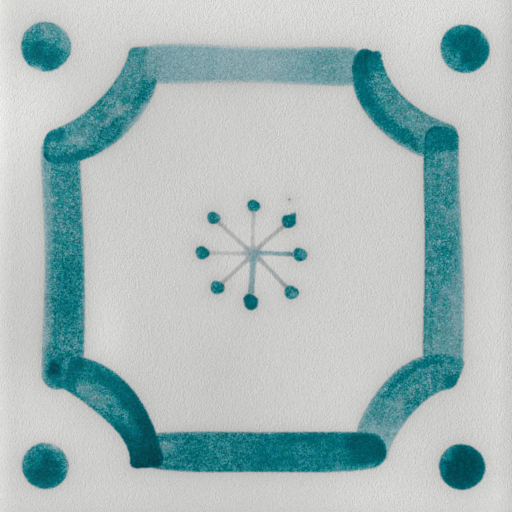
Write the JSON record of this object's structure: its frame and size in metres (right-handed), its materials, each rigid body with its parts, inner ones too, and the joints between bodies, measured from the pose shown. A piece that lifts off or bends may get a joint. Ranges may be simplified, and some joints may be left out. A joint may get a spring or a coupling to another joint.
{
  "type": "ceramic tile",
  "caption": "Square hand-painted ceramic wall tile: cushioned face with a notched-corner brush-stroke frame, corner dots and a dotted star, keyed back.",
  "frame": {"origin": "centre of the resting plane, which the rim and the lands of the back share", "axes": "+Z out of the painted face; +X to the right and +Y to the top of the pattern as seen from above"},
  "size_m": [0.13, 0.13, 0.008],
  "materials": {
    "tin_glazed_earthenware": "satin"
  },
  "bodies": {
    "root": {"tile": "tin_glazed_earthenware"}
  },
  "joints": []
}
